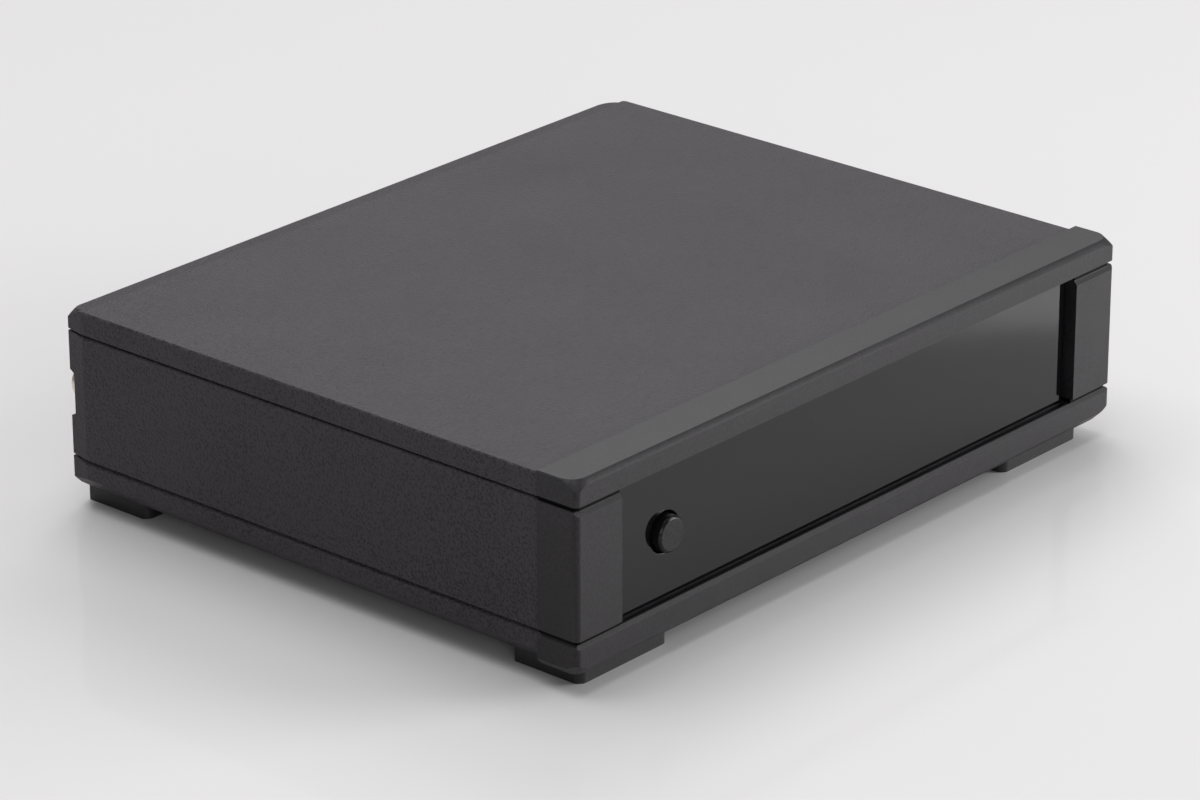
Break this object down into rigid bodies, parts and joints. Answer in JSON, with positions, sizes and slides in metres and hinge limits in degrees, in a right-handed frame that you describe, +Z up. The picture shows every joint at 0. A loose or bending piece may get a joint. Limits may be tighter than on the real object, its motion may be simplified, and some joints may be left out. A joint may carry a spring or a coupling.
{
  "type": "phono preamp",
  "caption": "Low, flat phono preamplifier in a three-layer metal case with shadow seams, gloss front panel and round push button, on low feet, with phono sockets in a channel at the back.",
  "frame": {"origin": "Middle of the bounding box in X and Y, on the plane that the feet stand on.", "axes": "+X to the right seen from the front, along the width. +Y from the front panel to the back. +Z up."},
  "size_m": [0.18, 0.15, 0.0474],
  "materials": {
    "case_metal": "satin textured powder coat",
    "bevelled_metal": "anodised, satin",
    "gloss_panel": "gloss",
    "dark_steel": "matte",
    "foot_plastic": "matte",
    "screw_steel": "zinc plated",
    "nickel": "nickel plated",
    "black_plastic": "matte",
    "white_plastic": "satin",
    "red_plastic": "satin",
    "board_green": "satin solder mask",
    "ferrite": "matte",
    "winding_tape": "gloss tape",
    "copper_wire": "lacquered copper",
    "capacitor_sleeve": "gloss sleeve",
    "film_red": "gloss",
    "resistor_blue": "gloss"
  },
  "bodies": {
    "case": {"lid": "case_metal", "base": "case_metal", "side_frame_left": "case_metal", "side_frame_right": "case_metal", "front_panel": "gloss_panel", "panel_carrier": "dark_steel", "rear_panel": "case_metal", "foot_front_left": "foot_plastic", "foot_front_right": "foot_plastic", "foot_rear_left": "foot_plastic", "foot_rear_right": "foot_plastic", "foot_screws": "screw_steel", "case_screws": "screw_steel", "carrier_screws": "screw_steel", "rear_panel_screws": "dark_steel", "power_switch": "black_plastic", "switch_cable": "black_plastic", "main_board": "board_green", "main_board_spacers": "screw_steel", "main_board_screws": "screw_steel", "supply_board": "board_green", "supply_board_spacers": "screw_steel", "supply_board_screws": "screw_steel", "insulation_sheet": "black_plastic", "transformer_core": "ferrite", "transformer_winding": "winding_tape", "bulk_capacitor": "capacitor_sleeve", "supply_choke": "copper_wire", "fuse": "white_plastic", "fuse_clips": "nickel", "mains_inlet": "black_plastic", "inlet_pins": "nickel", "power_link": "white_plastic", "input_left_socket": "nickel", "input_right_socket": "nickel", "output_left_socket": "nickel", "output_right_socket": "nickel", "socket_inserts_white": "white_plastic", "socket_inserts_red": "red_plastic", "socket_contacts": "nickel", "input_socket_block": "black_plastic", "output_socket_block": "black_plastic", "ground_post": "nickel", "ground_lock_nut": "nickel", "film_capacitors": "film_red", "electrolytic_capacitors": "capacitor_sleeve", "op_amps": "black_plastic", "resistors": "resistor_blue", "mute_relay": "white_plastic", "regulator": "black_plastic"},
    "button": {"power_button": "bevelled_metal", "button_rod": "white_plastic"},
    "washer": {"ground_washer": "screw_steel"},
    "thumb_nut": {"ground_thumb_nut": "nickel"}
  },
  "joints": [
    {"name": "power_button_press", "type": "slide", "parent": "case", "child": "button", "axis": [0, 1, 0], "range_m": [0, 0.0018], "stiffness_N_per_m": 600, "springref_m": -0.0015},
    {"name": "ground_nut_turn", "type": "hinge", "parent": "washer", "child": "thumb_nut", "pos_m": [-0.048, 0.0698, 0.0265], "axis": [0, -1, 0], "range_deg": [0, 1446]},
    {"name": "ground_washer_travel", "type": "slide", "parent": "case", "child": "washer", "axis": [0, 1, 0], "range_m": [0, 0.0028]}
  ],
  "couplings": [
    {"joint": "ground_nut_turn", "follows": "ground_washer_travel", "rad_per_m": 8976}
  ]
}
